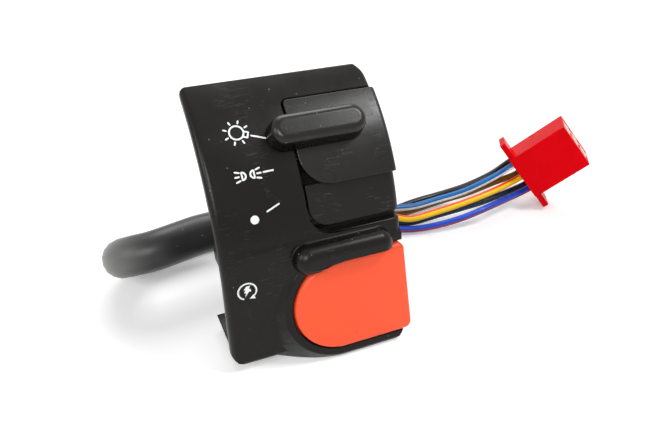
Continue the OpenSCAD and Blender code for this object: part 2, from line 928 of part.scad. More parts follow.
// Bridging ring on the cap's underside with two ears over the fixed contacts.
module start_bridge() {
    color(brass_metal)
        at_button()
            translate([0, 0, cap_bottom - bridge_thick])
                difference() {
                    union() {
                        cylinder(r = spring_pocket + 1.4, h = bridge_thick);
                        translate([-start_contact_x - 1.4, -1.8, 0])
                            cube([2 * start_contact_x + 2.8, 3.6, bridge_thick]);
                    }
                    translate([0, 0, -1])
                        cylinder(r = spring_pocket, h = 3);
                }
}

module return_spring() {
    color(steel_metal)
        at_button()
            translate([0, 0, base_front + 0.02])
                coil(spring_radius, spring_wire, spring_seat - base_front - 0.04, spring_turns);
}

// Base plate behind the button with the plunger's guide, held by two screws.
module start_base() {
    color(black_plastic)
        at_button()
            difference() {
                union() {
                    translate([-base_left, -base_half, base_back])
                        cube([base_left + base_right, 2 * base_half, base_thick]);
                    translate([base_arm_left, 0.4, base_back])
                        cube([0.8 - base_left - base_arm_left, base_arm_height, base_thick]);
                    translate([0, 0, base_back - guide_length])
                        cylinder(r = guide_radius, h = guide_length + overlap);
                }
                translate([0, 0, base_front - 20])
                    cylinder(r = plunger_radius + plunger_fit, h = 30);
                for (side = [-1, 1])
                    translate([side * start_contact_x, 0, base_back - 1])
                        cylinder(r = tail_radius + 0.25, h = base_thick + 2);
                for (post = base_post_spots)
                    translate([post[0], post[1], base_back - 1])
                        cylinder(r = small_screw_radius + 0.1, h = base_thick + 2);
            }
}

module base_screws() {
    color(steel_metal)
        at_button()
            for (post = base_post_spots)
                translate([post[0], post[1], base_back])
                    rotate([180, 0, 0])
                        pan_screw(small_screw_radius, small_head_radius, 5.5);
}

// Two rivets with flat heads that the bridge closes, and solder tails behind the base.
module start_contacts() {
    color(brass_metal)
        at_button()
            for (side = [-1, 1])
                translate([side * start_contact_x, 0, 0]) {
                    translate([0, 0, base_front])
                        cylinder(r = 1.3, h = start_head);
                    translate([0, 0, start_tail])
                        cylinder(r = tail_radius + 0.2, h = base_thick + tail_length + overlap);
                }
}

// Loom

// Four leads from the contact tails to the boot, side by side behind the board.
module light_leads() {
    color([0.5, 0.1, 0.1])
        for (i = [0 : 3])
            on_face(boot_left + boot_length, tail_angle(i), lead_radius)
                rotate([0, 90, 0])
                    cylinder(d = wire_diameter, h = contact_spot(i) - tail_radius - boot_left - boot_length);
}

// Rubber boot where the four leads join into one taped bundle.
module lead_boot() {
    color(black_plastic)
        face_block(boot_left, boot_left + boot_length, lead_radius - 1.15, lead_radius + 1.3,
            tail_angle(0) - 2.2, tail_angle(3) + 2.2);
}

module light_bundle() {
    color(black_plastic)
        tube(bundle_route, bundle_diameter, 10);
}

module start_leads() {
    color([0.75, 0.6, 0.1]) {
        tube(start_lead_left, wire_diameter, 8);
        tube(start_lead_right, wire_diameter, 8);
    }
}

// Ring round the sleeve's mouth with a foot screwed to the bottom wall.
module loom_clip() {
    color(black_plastic)
        difference() {
            union() {
                translate([mouth[0], clip_y, mouth[2]])
                    rotate([90, 0, 0])
                        cylinder(r = sleeve_diameter / 2 + clip_wall, h = clip_length, center = true);
                translate([mouth[0] - 3, clip_y - clip_length / 2, bottom_z + wall])
                    cube([clip_reach + 5.4, clip_length, mouth[2] - sleeve_diameter / 2 - bottom_z - wall]);
            }
            translate([mouth[0], clip_y, mouth[2]])
                rotate([90, 0, 0])
                    cylinder(r = sleeve_diameter / 2 + 0.05, h = clip_length + 2, center = true);
            translate([mouth[0] + clip_reach - small_head_radius - 0.4, clip_y - clip_length, clip_foot_top])
                cube([20, 2 * clip_length, 20]);
            translate([mouth[0] + clip_reach, clip_y, bottom_z])
                cylinder(r = small_screw_radius + 0.1, h = wall + 5);
        }
}

module clip_screw() {
    color(steel_metal)
        translate([mouth[0] + clip_reach, clip_y, clip_foot_top])
            pan_screw(small_screw_radius, small_head_radius, clip_wall + wall - 0.6);
}

module loom_sleeve() {
    color(black_plastic)
        tube(sleeve_route, sleeve_diameter, 12);
}

// Wires run from the sleeve's end to their cells in the connector.
function turn_x(v, a) = [v[0], v[1] * cos(a) - v[2] * sin(a), v[1] * sin(a) + v[2] * cos(a)];
function turn_y(v, a) = [v[0] * cos(a) + v[2] * sin(a), v[1], v[2] * cos(a) - v[0] * sin(a)];
function turn_z(v, a) = [v[0] * cos(a) - v[1] * sin(a), v[0] * sin(a) + v[1] * cos(a), v[2]];
function in_connector(v) = connector_pos
    + turn_z(turn_y(turn_x(v, connector_turn[0]), connector_turn[1]), connector_turn[2]);
function cell_end(row, column) = [
    in_connector([-3.2, row * cell_pitch_y / 2, column * cell_pitch_z]),
    in_connector([cell_floor, row * cell_pitch_y / 2, column * cell_pitch_z])
];

module wire(route, row, column) {
    tube(concat(route, cell_end(row, column)), wire_diameter, 8);
}

module wire_black() {
    color([0.07, 0.07, 0.07])
        wire(black_route, 1, 1);
}
module wire_blue_white() {
    color([0.05, 0.35, 0.65])
        wire(blue_white_route, -1, 1);
}
module wire_brown() {
    color([0.5, 0.27, 0.05])
        wire(brown_route, 1, 0);
}
module wire_yellow_red() {
    color([1, 0.8, 0.05])
        wire(yellow_red_route, -1, 0);
}
module wire_navy() {
    color([0.05, 0.06, 0.16])
        wire(navy_route, 1, -1);
}
module wire_blue_red() {
    color([0.06, 0.2, 0.6])
        wire(blue_red_route, -1, -1);
}

// Six-way connector: body, two ears, cells open at the mating end and wire holes behind.
module connector_housing() {
    color(red_plastic)
        translate(connector_pos)
            rotate(connector_turn)
                difference() {
                    union() {
                        translate([-1, -connector_thick / 2, -connector_width / 2])
                            cube([connector_length + 1, connector_thick, connector_width]);
                        translate([-1, -ear_width / 2, -ear_span / 2])
                            cube([ear_thick, ear_width, ear_span]);
                    }
                    for (row = [-1, 1])
                        for (column = [-1 : 1])
                            translate([0, row * cell_pitch_y / 2, column * cell_pitch_z]) {
                                translate([cell_floor, -cell_size / 2, -cell_size / 2])
                                    cube([connector_length, cell_size, cell_size]);
                                translate([-2, 0, 0])
                                    rotate([0, 90, 0])
                                        cylinder(d = wire_diameter + 0.3, h = cell_floor + 3);
                            }
                }
}

// Six blade terminals, each with the folded box that holds it in its cell.
module connector_terminals() {
    color(brass_metal)
        translate(connector_pos)
            rotate(connector_turn)
                for (row = [-1, 1])
                    for (column = [-1 : 1])
                        translate([cell_floor, row * cell_pitch_y / 2, column * cell_pitch_z]) {
                            translate([0, -1.3, -1.5])
                                cube([4, 2.6, 3]);
                            translate([4 - overlap, -0.4, -1.4])
                                cube([8, 0.8, 2.8]);
                        }
}

front_shell();
brass_inserts();
slide_bed();
bed_screws();
contact_board();
board_screws();
fixed_contacts();
detent_spring();
detent_ball();
light_slider();
contact_carrier();
contact_bridge();
bridge_spring();
carrier_screw();
start_button();
button_plunger();
start_bridge();
return_spring();
start_base();
base_screws();
start_contacts();
light_leads();
lead_boot();
light_bundle();
start_leads();
loom_clip();
clip_screw();
loom_sleeve();
wire_black();
wire_blue_white();
wire_brown();
wire_yellow_red();
wire_navy();
wire_blue_red();
connector_housing();
connector_terminals();
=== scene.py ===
import math

import bmesh
import bpy
from mathutils import Matrix, Vector


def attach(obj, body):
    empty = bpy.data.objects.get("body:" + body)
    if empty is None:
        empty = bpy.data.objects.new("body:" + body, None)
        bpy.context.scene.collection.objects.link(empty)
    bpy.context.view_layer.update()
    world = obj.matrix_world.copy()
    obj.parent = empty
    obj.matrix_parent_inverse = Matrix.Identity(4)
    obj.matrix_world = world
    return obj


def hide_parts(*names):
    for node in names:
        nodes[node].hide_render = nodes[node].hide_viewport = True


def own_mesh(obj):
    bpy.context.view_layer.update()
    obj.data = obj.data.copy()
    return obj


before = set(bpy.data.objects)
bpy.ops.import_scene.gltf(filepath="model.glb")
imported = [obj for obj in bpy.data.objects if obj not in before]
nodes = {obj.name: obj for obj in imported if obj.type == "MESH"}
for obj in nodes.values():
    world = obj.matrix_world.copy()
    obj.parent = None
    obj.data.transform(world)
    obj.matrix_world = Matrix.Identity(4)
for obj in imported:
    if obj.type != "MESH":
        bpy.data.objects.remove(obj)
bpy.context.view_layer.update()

scene = bpy.context.scene
scene.view_settings.view_transform = "Standard"


# Studio: the cluster lies on a white paper sheet under four soft boxes, seen by the photo's camera.
# The sheet keeps the soft shadow near the part. Further off it is plain white, as the room is,
# to the camera and in reflections.
def made_mesh(name, bm):
    mesh = bpy.data.meshes.new(name)
    bm.to_mesh(mesh)
    bm.free()
    return mesh


def linked(name, data):
    obj = bpy.data.objects.new(name, data)
    scene.collection.objects.link(obj)
    return obj


def add_node(tree, kind, **values):
    node = tree.nodes.new("ShaderNode" + kind)
    for name, value in values.items():
        node.inputs[name.replace("_", " ")].default_value = value
    return node


def add_math(tree, operation, first, second):
    node = add_node(tree, "Math")
    node.operation = operation
    for socket, value in zip(node.inputs, (first, second)):
        if isinstance(value, (int, float)):
            socket.default_value = value
        else:
            tree.links.new(value, socket)
    return node.outputs[0]


def mix_shaders(tree, mask, first, second):
    node = add_node(tree, "MixShader")
    for socket, value in zip(node.inputs, (mask, first, second)):
        tree.links.new(value, socket)
    return node.outputs[0]


def split_rays(tree, lighting, shown):
    path = add_node(tree, "LightPath").outputs
    seen = add_math(tree, "MAXIMUM", path["Is Camera Ray"], path["Is Glossy Ray"])
    seen = add_math(tree, "MAXIMUM", seen, path["Is Transmission Ray"])
    return mix_shaders(tree, seen, lighting, shown)


FLOOR_Z = -0.0305
FLOOR_HALF = 3.0
SHADOW_REACH = 0.3
WHITE_FROM = 0.6
WHITE = (1, 1, 1, 1)

bm = bmesh.new()
bmesh.ops.create_grid(bm, x_segments=1, y_segments=1, size=FLOOR_HALF)
bmesh.ops.translate(bm, verts=bm.verts, vec=(0, 0, FLOOR_Z))
floor = linked("white_sheet", made_mesh("white_sheet", bm))

sheet_paper = bpy.data.materials.new("sheet_paper")
sheet_paper.use_nodes = True
tree = sheet_paper.node_tree
tree.nodes.clear()
out = add_node(tree, "OutputMaterial")
paper = add_node(tree, "BsdfDiffuse", Color=(0.8, 0.8, 0.8, 1))
near_sheet = add_node(tree, "AddShader")
near_paper = add_node(tree, "BsdfDiffuse", Color=(0.95, 0.95, 0.95, 1))
near_white = add_node(tree, "Emission", Color=WHITE, Strength=0.24)
for socket, part in zip(near_sheet.inputs, (near_paper, near_white)):
    tree.links.new(part.outputs[0], socket)
far_white = add_node(tree, "Emission", Color=WHITE, Strength=1)
from_middle = add_node(tree, "VectorMath")
from_middle.operation = "LENGTH"
tree.links.new(add_node(tree, "TexCoord").outputs["Object"], from_middle.inputs[0])
far_off = add_node(tree, "MapRange", From_Min=SHADOW_REACH, From_Max=WHITE_FROM)
tree.links.new(from_middle.outputs["Value"], far_off.inputs["Value"])
seen_sheet = mix_shaders(tree, far_off.outputs[0], near_sheet.outputs[0], far_white.outputs[0])
tree.links.new(split_rays(tree, paper.outputs[0], seen_sheet), out.inputs["Surface"])
floor.data.materials.append(sheet_paper)

studio = bpy.data.worlds.new("studio_room")
scene.world = studio
studio.use_nodes = True
tree = studio.node_tree
room = tree.nodes["Background"]
room.inputs["Color"].default_value = WHITE
room.inputs["Strength"].default_value = 0.2
room_white = add_node(tree, "Background", Color=WHITE, Strength=1)
tree.links.new(split_rays(tree, room.outputs[0], room_white.outputs[0]),
               tree.nodes["World Output"].inputs["Surface"])

for name, spot, aim, size, power in (
        ("back_box", (0.1, 0.4, 0.5), (0.02, 0, 0), 0.4, 2.1),
        ("front_box", (-0.32, -0.5, 0.42), (0, 0, 0), 0.3, 2.4),
        ("key_box", (0.3, -0.17, 0.48), (0, 0, 0), 0.16, 1.5),
        ("left_box", (-0.5, -0.12, 0.3), (0, 0, 0), 0.25, 0.8)):
    lamp = bpy.data.lights.new(name, "AREA")
    lamp.shape = "SQUARE"
    lamp.size = size
    lamp.energy = power
    soft_box = linked(name, lamp)
    soft_box.location = spot
    soft_box.rotation_euler = (Vector(aim) - Vector(spot)).to_track_quat("-Z", "Y").to_euler()

CAMERA_DOWN = 32.75
CAMERA_TURN = -22.97
camera_data = bpy.data.cameras.new("photo_camera")
camera_data.sensor_width = 36
camera_data.lens = 34.09
camera_data.clip_start = 0.005
camera = linked("photo_camera", camera_data)
camera.location = (-0.04021, -0.12881, 0.07807)
camera.rotation_euler = (math.radians(90 - CAMERA_DOWN), 0, math.radians(CAMERA_TURN))
scene.camera = camera


# Loom sleeve: a black vinyl tube over the six wires. It leaves the housing's open back,
# folds back on itself to the left, where its black is painted paler as a painted reflection of the white sheet,
# and runs behind the housing to its cut end. Its skin is the moulded finish that all the plastics share.
def add_mix(tree, mask, first, second):
    node = add_node(tree, "Mix")
    node.data_type = "RGBA"
    for socket, value in zip((node.inputs[0], node.inputs[6], node.inputs[7]), (mask, first, second)):
        if isinstance(value, (tuple, float)):
            socket.default_value = value
        else:
            tree.links.new(value, socket)
    return node.outputs[2]


def open_group(name, inputs, outputs):
    group = bpy.data.node_groups.new(name, "ShaderNodeTree")
    for label, kind, value in inputs:
        socket = group.interface.new_socket(label, in_out="INPUT", socket_type="NodeSocket" + kind)
        socket.default_value = value
    for label, kind in outputs:
        group.interface.new_socket(label, in_out="OUTPUT", socket_type="NodeSocket" + kind)
    return group, group.nodes.new("NodeGroupInput").outputs, group.nodes.new("NodeGroupOutput").inputs


# Moulded skin: a cloudy tone, fine grain, dust specks and hair scratches. Scales count per metre.
CLOUD_SCALE = 120
GRAIN_SCALE = 3000
SPECK_SCALE = 900
SPECK_RADIUS = 0.12
SPECK_RARITY = 0.86
HAIR_STRETCH = (260, 8500, 8500)
HAIR_RARITY = 0.7
HAIR_DUST = 0.16
SKIN_DUST = (0.3, 0.29, 0.28, 1)
moulded_skin, given, made = open_group(
    "moulded_skin",
    (("Colour", "Color", (0.03, 0.03, 0.03, 1)), ("Dust Colour", "Color", SKIN_DUST),
     ("Cloud", "Float", 0.5), ("Specks", "Float", 0.5), ("Scratches", "Float", 0.5),
     ("Roughness", "Float", 0.4)),
    (("Colour", "Color"), ("Roughness", "Float"), ("Height", "Float")))
place = add_node(moulded_skin, "TexCoord").outputs["Object"]


def skin_math(operation, first, second):
    return add_math(moulded_skin, operation, first, second)


def skin_noise(scale, detail):
    node = add_node(moulded_skin, "TexNoise", Scale=scale, Detail=detail)
    moulded_skin.links.new(place, node.inputs["Vector"])
    return node.outputs[0]


def skin_hairs(turn):
    slant = add_node(moulded_skin, "Mapping", Rotation=turn, Scale=HAIR_STRETCH)
    moulded_skin.links.new(place, slant.inputs["Vector"])
    hair = add_node(moulded_skin, "TexNoise", Scale=1, Detail=1)
    moulded_skin.links.new(slant.outputs[0], hair.inputs["Vector"])
    return skin_math("GREATER_THAN", hair.outputs[0], HAIR_RARITY)


cloud = skin_math("SUBTRACT", skin_noise(CLOUD_SCALE, 3), 0.5)
tone = skin_math("ADD", skin_math("MULTIPLY", cloud, given["Cloud"]), 1)
toned = add_node(moulded_skin, "VectorMath")
toned.operation = "SCALE"
moulded_skin.links.new(given["Colour"], toned.inputs[0])
moulded_skin.links.new(tone, toned.inputs["Scale"])
cells = add_node(moulded_skin, "TexVoronoi", Scale=SPECK_SCALE)
moulded_skin.links.new(place, cells.inputs["Vector"])
cell_luck = add_node(moulded_skin, "SeparateColor")
moulded_skin.links.new(cells.outputs["Color"], cell_luck.inputs[0])
specks = skin_math("MULTIPLY", skin_math("LESS_THAN", cells.outputs["Distance"], SPECK_RADIUS),
                   skin_math("GREATER_THAN", cell_luck.outputs[0], SPECK_RARITY))
specks = skin_math("MULTIPLY", specks, skin_math("GREATER_THAN", skin_noise(210, 1), 0.5))
specks = skin_math("MULTIPLY", specks, given["Specks"])
hairs = skin_math("MAXIMUM", skin_hairs((0.3, 0.7, 0.5)), skin_hairs((-0.4, -0.8, 0.9)))
hairs = skin_math("MULTIPLY", hairs, skin_math("GREATER_THAN", skin_noise(140, 2), 0.55))
hairs = skin_math("MULTIPLY", hairs, given["Scratches"])
dusty = add_mix(moulded_skin, specks, toned.outputs[0], given["Dust Colour"])
scored = add_mix(moulded_skin, skin_math("MULTIPLY", hairs, HAIR_DUST), dusty, given["Dust Colour"])
moulded_skin.links.new(scored, made["Colour"])
dulled = skin_math("ADD", given["Roughness"], skin_math("MULTIPLY", cloud, 0.3))
dulled = skin_math("ADD", dulled, skin_math("MULTIPLY", specks, 0.3))
moulded_skin.links.new(dulled, made["Roughness"])
relief = skin_math("ADD", skin_math("MULTIPLY", skin_noise(GRAIN_SCALE, 2), 0.35),
                   skin_math("MULTIPLY", hairs, -0.5))
moulded_skin.links.new(relief, made["Height"])


def grouped_finish(name, group, values, bump, depth):
    finish = bpy.data.materials.new(name)
    finish.use_nodes = True
    tree = finish.node_tree
    shader = tree.nodes["Principled BSDF"]
    surface = add_node(tree, "Group")
    surface.name = "skin"
    surface.node_tree = group
    for label, value in values.items():
        surface.inputs[label].default_value = value
    tree.links.new(surface.outputs["Colour"], shader.inputs["Base Color"])
    tree.links.new(surface.outputs["Roughness"], shader.inputs["Roughness"])
    grain = add_node(tree, "Bump", Strength=bump, Distance=depth)
    tree.links.new(surface.outputs["Height"], grain.inputs["Height"])
    tree.links.new(grain.outputs[0], shader.inputs["Normal"])
    return finish, shader


def moulded_finish(name, colour, roughness, cloud=0.5, specks=0.0, scratches=0.0, bump=0.25,
                   dust=SKIN_DUST, gloss=0.5):
    values = {"Colour": (*colour, 1), "Dust Colour": dust, "Cloud": cloud, "Specks": specks,
              "Scratches": scratches, "Roughness": roughness}
    finish, shader = grouped_finish(name, moulded_skin, values, bump, 0.0001)
    shader.inputs["Specular IOR Level"].default_value = gloss
    return finish


def smooth_route(points, steps):
    ends = [points[0] * 2 - points[1]] + points + [points[-1] * 2 - points[-2]]
    route = []
    for a, b, c, d in zip(ends, ends[1:], ends[2:], ends[3:]):
        for k in range(steps):
            t = k / steps
            route.append(0.5 * ((2 * b) + (c - a) * t + (2 * a - 5 * b + 4 * c - d) * t * t
                                + (3 * b - a - 3 * c + d) * t * t * t))
    return route + [points[-1]]


def cord_curve(name, route, diameter):
    curve = bpy.data.curves.new(name, "CURVE")
    curve.dimensions = "3D"
    curve.bevel_depth = 1
    curve.bevel_resolution = 6
    curve.use_fill_caps = True
    spline = curve.splines.new("POLY")
    spline.points.add(len(route) - 1)
    for point, place in zip(spline.points, route):
        point.co = (*place, 1)
        point.radius = diameter / 2
    spline.use_smooth = True
    return linked(name, curve)


ROUTE_STEPS = 6
SLEEVE_D = 0.0105
SLEEVE_BLACK = (0.022, 0.022, 0.022)
SLEEVE_PAINTED_REFLECTION = (0.16, 0.16, 0.155, 1)
REFLECTION_FROM_X = -0.031
REFLECTION_TO_X = -0.044
sleeve_points = [Vector(p) / 1000 for p in (
    (0.5, -5, -18.6), (0.5, -0.5, -18.6), (-1.2, 5, -18.2), (-6, 10.4, -16.8), (-12, 12.4, -15),
    (-18, 12, -14.4), (-25, 10.8, -14.6), (-31, 10, -15), (-36, 11.6, -16.2), (-38.6, 15.4, -18.8),
    (-38, 20, -22), (-35, 23.4, -24.2), (-30, 25.6, -25.2), (-22, 27.6, -25.2), (-10, 29, -25.2),
    (4, 27, -25.2), (16, 20.6, -25.2), (24, 18, -25.2), (32, 18, -25.2))]
sleeve_route = smooth_route(sleeve_points, ROUTE_STEPS)
sleeve = cord_curve("loom_sleeve_tube", sleeve_route, SLEEVE_D)
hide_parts("loom_sleeve")
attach(sleeve, "housing")

sleeve_vinyl = moulded_finish("sleeve_vinyl", SLEEVE_BLACK, 0.36, specks=0.6, scratches=0.3, gloss=0.35)
tree = sleeve_vinyl.node_tree
# Painted reflection: towards the fold end, along x, the sleeve's black is blended to a pale grey that stands in
# for the white sheet reflected there.
across = add_node(tree, "SeparateXYZ")
tree.links.new(add_node(tree, "TexCoord").outputs["Object"], across.inputs[0])
painted_reflection_ramp = add_node(tree, "MapRange", From_Min=REFLECTION_FROM_X, From_Max=REFLECTION_TO_X)
painted_reflection_ramp.interpolation_type = "SMOOTHSTEP"
tree.links.new(across.outputs["X"], painted_reflection_ramp.inputs["Value"])
reflected_colour = add_mix(tree, painted_reflection_ramp.outputs[0], (*SLEEVE_BLACK, 1), SLEEVE_PAINTED_REFLECTION)
tree.links.new(reflected_colour, tree.nodes["skin"].inputs["Colour"])
sleeve.data.materials.append(sleeve_vinyl)

# Connector: red nylon block with six cells and two ears, moulded in one, with six stamped brass blades
# pushed into it. Its mating end leans a little, the cells' rims carry a painted highlight in pale cream, and a
# gate mark is left on its side.
CONNECTOR = Matrix.Translation(Vector((88.1, 15.2, -19.7)) / 1000) @ (
    Matrix.Rotation(math.radians(-26), 4, "Z") @ Matrix.Rotation(math.radians(-40), 4, "Y")
    @ Matrix.Rotation(math.radians(-11), 4, "X"))
PLUG_END = 0.018
PLUG_HALF_Y = 0.0058
END_LEAN = 0.08
CELL_PITCH = 0.0047
RIM_DEPTH = 0.0012
RIM_HALF_Y = 0.00443
RIM_HALF_Z = 0.0018
PLUG_RED = (0.72, 0.0006, 0.005)
RIM_PAINTED_HIGHLIGHT = (1, 0.78, 0.66, 1)
CREASE = 38


def eased_copy(name, node, ease, segments=2, cuts=(), lean=None):
    bm = bmesh.new()
    bm.from_mesh(nodes[node].data)
    bmesh.ops.remove_doubles(bm, verts=bm.verts, dist=2e-6)
    bmesh.ops.dissolve_limit(bm, angle_limit=math.radians(0.5), verts=bm.verts, edges=bm.edges)
    for spot, outward in cuts:
        bmesh.ops.bisect_plane(bm, geom=bm.verts[:] + bm.edges[:] + bm.faces[:], dist=1e-7, plane_co=spot,
                               plane_no=outward, clear_outer=True)
        bmesh.ops.holes_fill(bm, edges=[edge for edge in bm.edges if edge.is_boundary])
    if lean:
        for vert in bm.verts:
            vert.co = lean(vert.co)
    bm.normal_update()
    outer = bm.edges.layers.float.new("bevel_weight_edge")
    for edge in bm.edges:
        if len(edge.link_faces) == 2 and edge.is_convex and edge.calc_face_angle(0) > math.radians(CREASE):
            edge[outer] = 1
    mesh = made_mesh(name, bm)
    mesh.materials.clear()
    mesh.shade_smooth()
    mesh.set_sharp_from_angle(angle=math.radians(CREASE))
    piece = linked(name, mesh)
    rounding = piece.modifiers.new("eased_edges", "BEVEL")
    rounding.width = ease
    rounding.segments = segments
    rounding.limit_method = "WEIGHT"
    rounding.use_clamp_overlap = False
    evened = piece.modifiers.new("evened_shading", "WEIGHTED_NORMAL")
    evened.keep_sharp = True
    return piece


def lean_end(point):
    local = CONNECTOR.inverted() @ point
    if local.x > PLUG_END - 0.0005:
        local.x += (local.y + PLUG_HALF_Y) * END_LEAN
    return CONNECTOR @ local


plug_body = eased_copy("connector_moulding", "connector_housing", 0.0002, lean=lean_end)
housing_red = moulded_finish("connector_red", PLUG_RED, 0.3, cloud=0.22, specks=0.15, scratches=0.2, bump=0.12,
                             dust=(0.95, 0.2, 0.18, 1), gloss=0.03)
tree = housing_red.node_tree
along = add_node(tree, "Mapping", Location=CONNECTOR.to_translation(), Rotation=CONNECTOR.to_euler())
along.vector_type = "TEXTURE"
tree.links.new(add_node(tree, "TexCoord").outputs["Object"], along.inputs["Vector"])
along_axes = add_node(tree, "SeparateXYZ")
tree.links.new(along.outputs[0], along_axes.inputs[0])
# Painted highlight: the rims of the cells at the mating end are painted pale cream, standing in for light caught
# in and through the cells.
painted_rim_highlight = add_math(tree, "GREATER_THAN", along_axes.outputs["X"], PLUG_END - RIM_DEPTH)
beside_middle = add_math(tree, "ABSOLUTE", along_axes.outputs["Y"], 0)
painted_rim_highlight = add_math(tree, "MULTIPLY", painted_rim_highlight, add_math(tree, "LESS_THAN", beside_middle, RIM_HALF_Y))
beside_cell = add_math(tree, "PINGPONG", along_axes.outputs["Z"], CELL_PITCH / 2)
painted_rim_highlight = add_math(tree, "MULTIPLY", painted_rim_highlight, add_math(tree, "LESS_THAN", beside_cell, RIM_HALF_Z))
tree.links.new(add_mix(tree, painted_rim_highlight, (*PLUG_RED, 1), RIM_PAINTED_HIGHLIGHT), tree.nodes["skin"].inputs["Colour"])
plug_body.data.materials.append(housing_red)
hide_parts("connector_housing")
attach(plug_body, "housing")

GATE_SPOT = (0.00603, -0.00581, -0.00009)
bm = bmesh.new()
bmesh.ops.create_circle(bm, cap_ends=True, radius=0.0007, segments=24)
bmesh.ops.inset_region(bm, faces=bm.faces[:], thickness=0.00022, depth=0.00012)
gate_middle = [face for face in bm.faces if len(face.verts) > 4]
bmesh.ops.inset_region(bm, faces=gate_middle, thickness=0.0002, depth=-0.0001)
bmesh.ops.transform(bm, verts=bm.verts, matrix=CONNECTOR @ Matrix.Translation(GATE_SPOT)
                    @ Matrix.Rotation(math.radians(90), 4, "X"))
gate_mark = linked("gate_mark", made_mesh("gate_mark", bm))
gate_mark.data.shade_smooth()
gate_mark.data.materials.append(housing_red)
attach(gate_mark, "housing")

# Worked metal: tarnish in clouds that dulls the metal, and fine lay marks.
worked_metal, given, made = open_group(
    "worked_metal",
    (("Colour", "Color", (0.6, 0.6, 0.6, 1)), ("Tarnish", "Color", (0.2, 0.2, 0.2, 1)),
     ("Amount", "Float", 0.5), ("Roughness", "Float", 0.3)),
    (("Colour", "Color"), ("Roughness", "Float"), ("Height", "Float")))
place = add_node(worked_metal, "TexCoord").outputs["Object"]
stain = add_node(worked_metal, "TexNoise", Scale=450, Detail=4)
lay_marks = add_node(worked_metal, "TexNoise", Scale=6000, Detail=1)
for texture in (stain, lay_marks):
    worked_metal.links.new(place, texture.inputs["Vector"])
stained = add_node(worked_metal, "MapRange", From_Min=0.48, From_Max=0.72)
worked_metal.links.new(stain.outputs[0], stained.inputs["Value"])
stained = add_math(worked_metal, "MULTIPLY", stained.outputs[0], given["Amount"])
worked_metal.links.new(add_mix(worked_metal, stained, given["Colour"], given["Tarnish"]), made["Colour"])
dulled = add_math(worked_metal, "ADD", given["Roughness"], add_math(worked_metal, "MULTIPLY", stained, 0.35))
worked_metal.links.new(dulled, made["Roughness"])
worked_metal.links.new(lay_marks.outputs[0], made["Height"])


def metal_finish(name, colour, tarnish, amount, roughness):
    values = {"Colour": (*colour, 1), "Tarnish": (*tarnish, 1), "Amount": amount, "Roughness": roughness}
    finish, shader = grouped_finish(name, worked_metal, values, 0.12, 0.00005)
    shader.inputs["Metallic"].default_value = 1
    return finish


def dress_nodes(finish, *names):
    for name in names:
        nodes[name].data.materials.clear()
        nodes[name].data.materials.append(finish)


brass = metal_finish("worked_brass", (0.72, 0.5, 0.2), (0.25, 0.15, 0.06), 0.6, 0.3)
dress_nodes(brass, "connector_terminals")

# Six vinyl-covered copper wires from the sleeve's end to their cells in the connector.
# Each keeps the loom's colour code: a plain colour, or a colour with a thin stripe along one side.
WIRE_D = 0.0021
wire_runs = {
    "black": (((32, 21.4, -26.4), (34.5, 21.4, -26.4), (40, 21.6, -27.8), (52.2, 24, -27.8),
               (62.8, 24.2, -27.2), (71, 22.2, -24.9), (78.4, 19.8, -21)), (2.6, 4.7)),
    "blue_white": (((32, 20.2, -24.1), (34.5, 20.2, -24.1), (40, 20.2, -25.2), (49.4, 19.4, -26.2),
                    (58.2, 19, -25.5), (67.4, 17.4, -23.5), (76, 16.6, -20.6)), (-2.6, 4.7)),
    "brown": (((32, 19, -26.4), (34.5, 19, -26.4), (40, 19.4, -28.2), (49.6, 20.6, -28.6),
               (60.4, 21.2, -27.9), (70.6, 20, -26.2), (78.8, 18.6, -23.6)), (2.6, 0)),
    "yellow_red": (((32, 15.8, -24.1), (34.5, 15.8, -24.1), (40, 14.9, -25.1), (45.6, 12.9, -26),
                    (54.2, 12.3, -25.2), (64, 12, -24), (73, 12, -22.5)), (-2.6, 0)),
    "navy": (((32, 16.7, -26.5), (34.5, 16.7, -26.5), (40, 16, -27.9), (46.6, 14.2, -28.3),
              (55, 13.8, -27.6), (63.4, 12.8, -26.4), (74, 12.4, -25.2)), (2.6, -4.7)),
    "blue_red": (((32, 14.4, -26.4), (34.5, 14.4, -26.4), (40, 12.8, -28.2), (46, 11, -28.7),
                  (53.6, 9.2, -28), (61.8, 8.2, -26.7), (71.2, 8.6, -25.3)), (-2.6, -4.7)),
}
IN_CELL = (-3.2, 3)
wires = {}
for colour, (run, cell) in wire_runs.items():
    points = [Vector(p) / 1000 for p in run]
    points += [CONNECTOR @ (Vector((x, *cell)) / 1000) for x in IN_CELL]
    route = smooth_route(points, ROUTE_STEPS)
    wire = cord_curve("wire_" + colour + "_tube", route, WIRE_D)
    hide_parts("wire_" + colour)
    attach(wire, "housing")
    wires[colour] = wire

